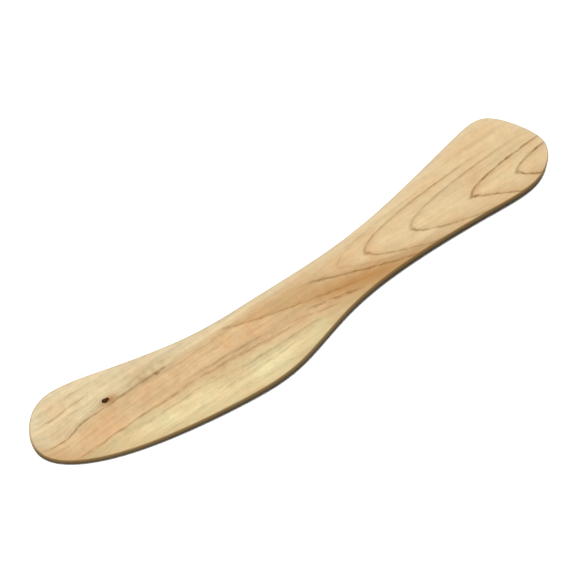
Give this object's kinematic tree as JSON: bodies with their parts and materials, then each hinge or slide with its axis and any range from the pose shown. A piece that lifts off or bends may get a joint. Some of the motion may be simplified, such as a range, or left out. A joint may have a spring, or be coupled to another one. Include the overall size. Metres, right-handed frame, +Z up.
{
  "type": "clay modeling tool",
  "caption": "One-piece hardwood clay modelling tool with a knife-shaped blade that thins towards its end, a narrow neck and a broad flat handle.",
  "frame": {"origin": "on the underside, below the middle of the outline's length and width", "axes": "+X along the tool from the blade to the handle, +Y across it towards the blade's raised corner, +Z up from the face it lies on to the upper face"},
  "size_m": [0.2, 0.0398, 0.0046],
  "materials": {
    "hardwood": "hand-sanded bare hardwood with a faint burnish, satin to matt, grain along the tool",
    "knot_wood": "dark brown resinous knot wood, sanded flush",
    "knot_bark": "black, slightly sunken ring of bark"
  },
  "bodies": {
    "root": {"tool_body": "hardwood", "knot_core": "knot_wood", "knot_bark": "knot_bark"}
  },
  "joints": []
}
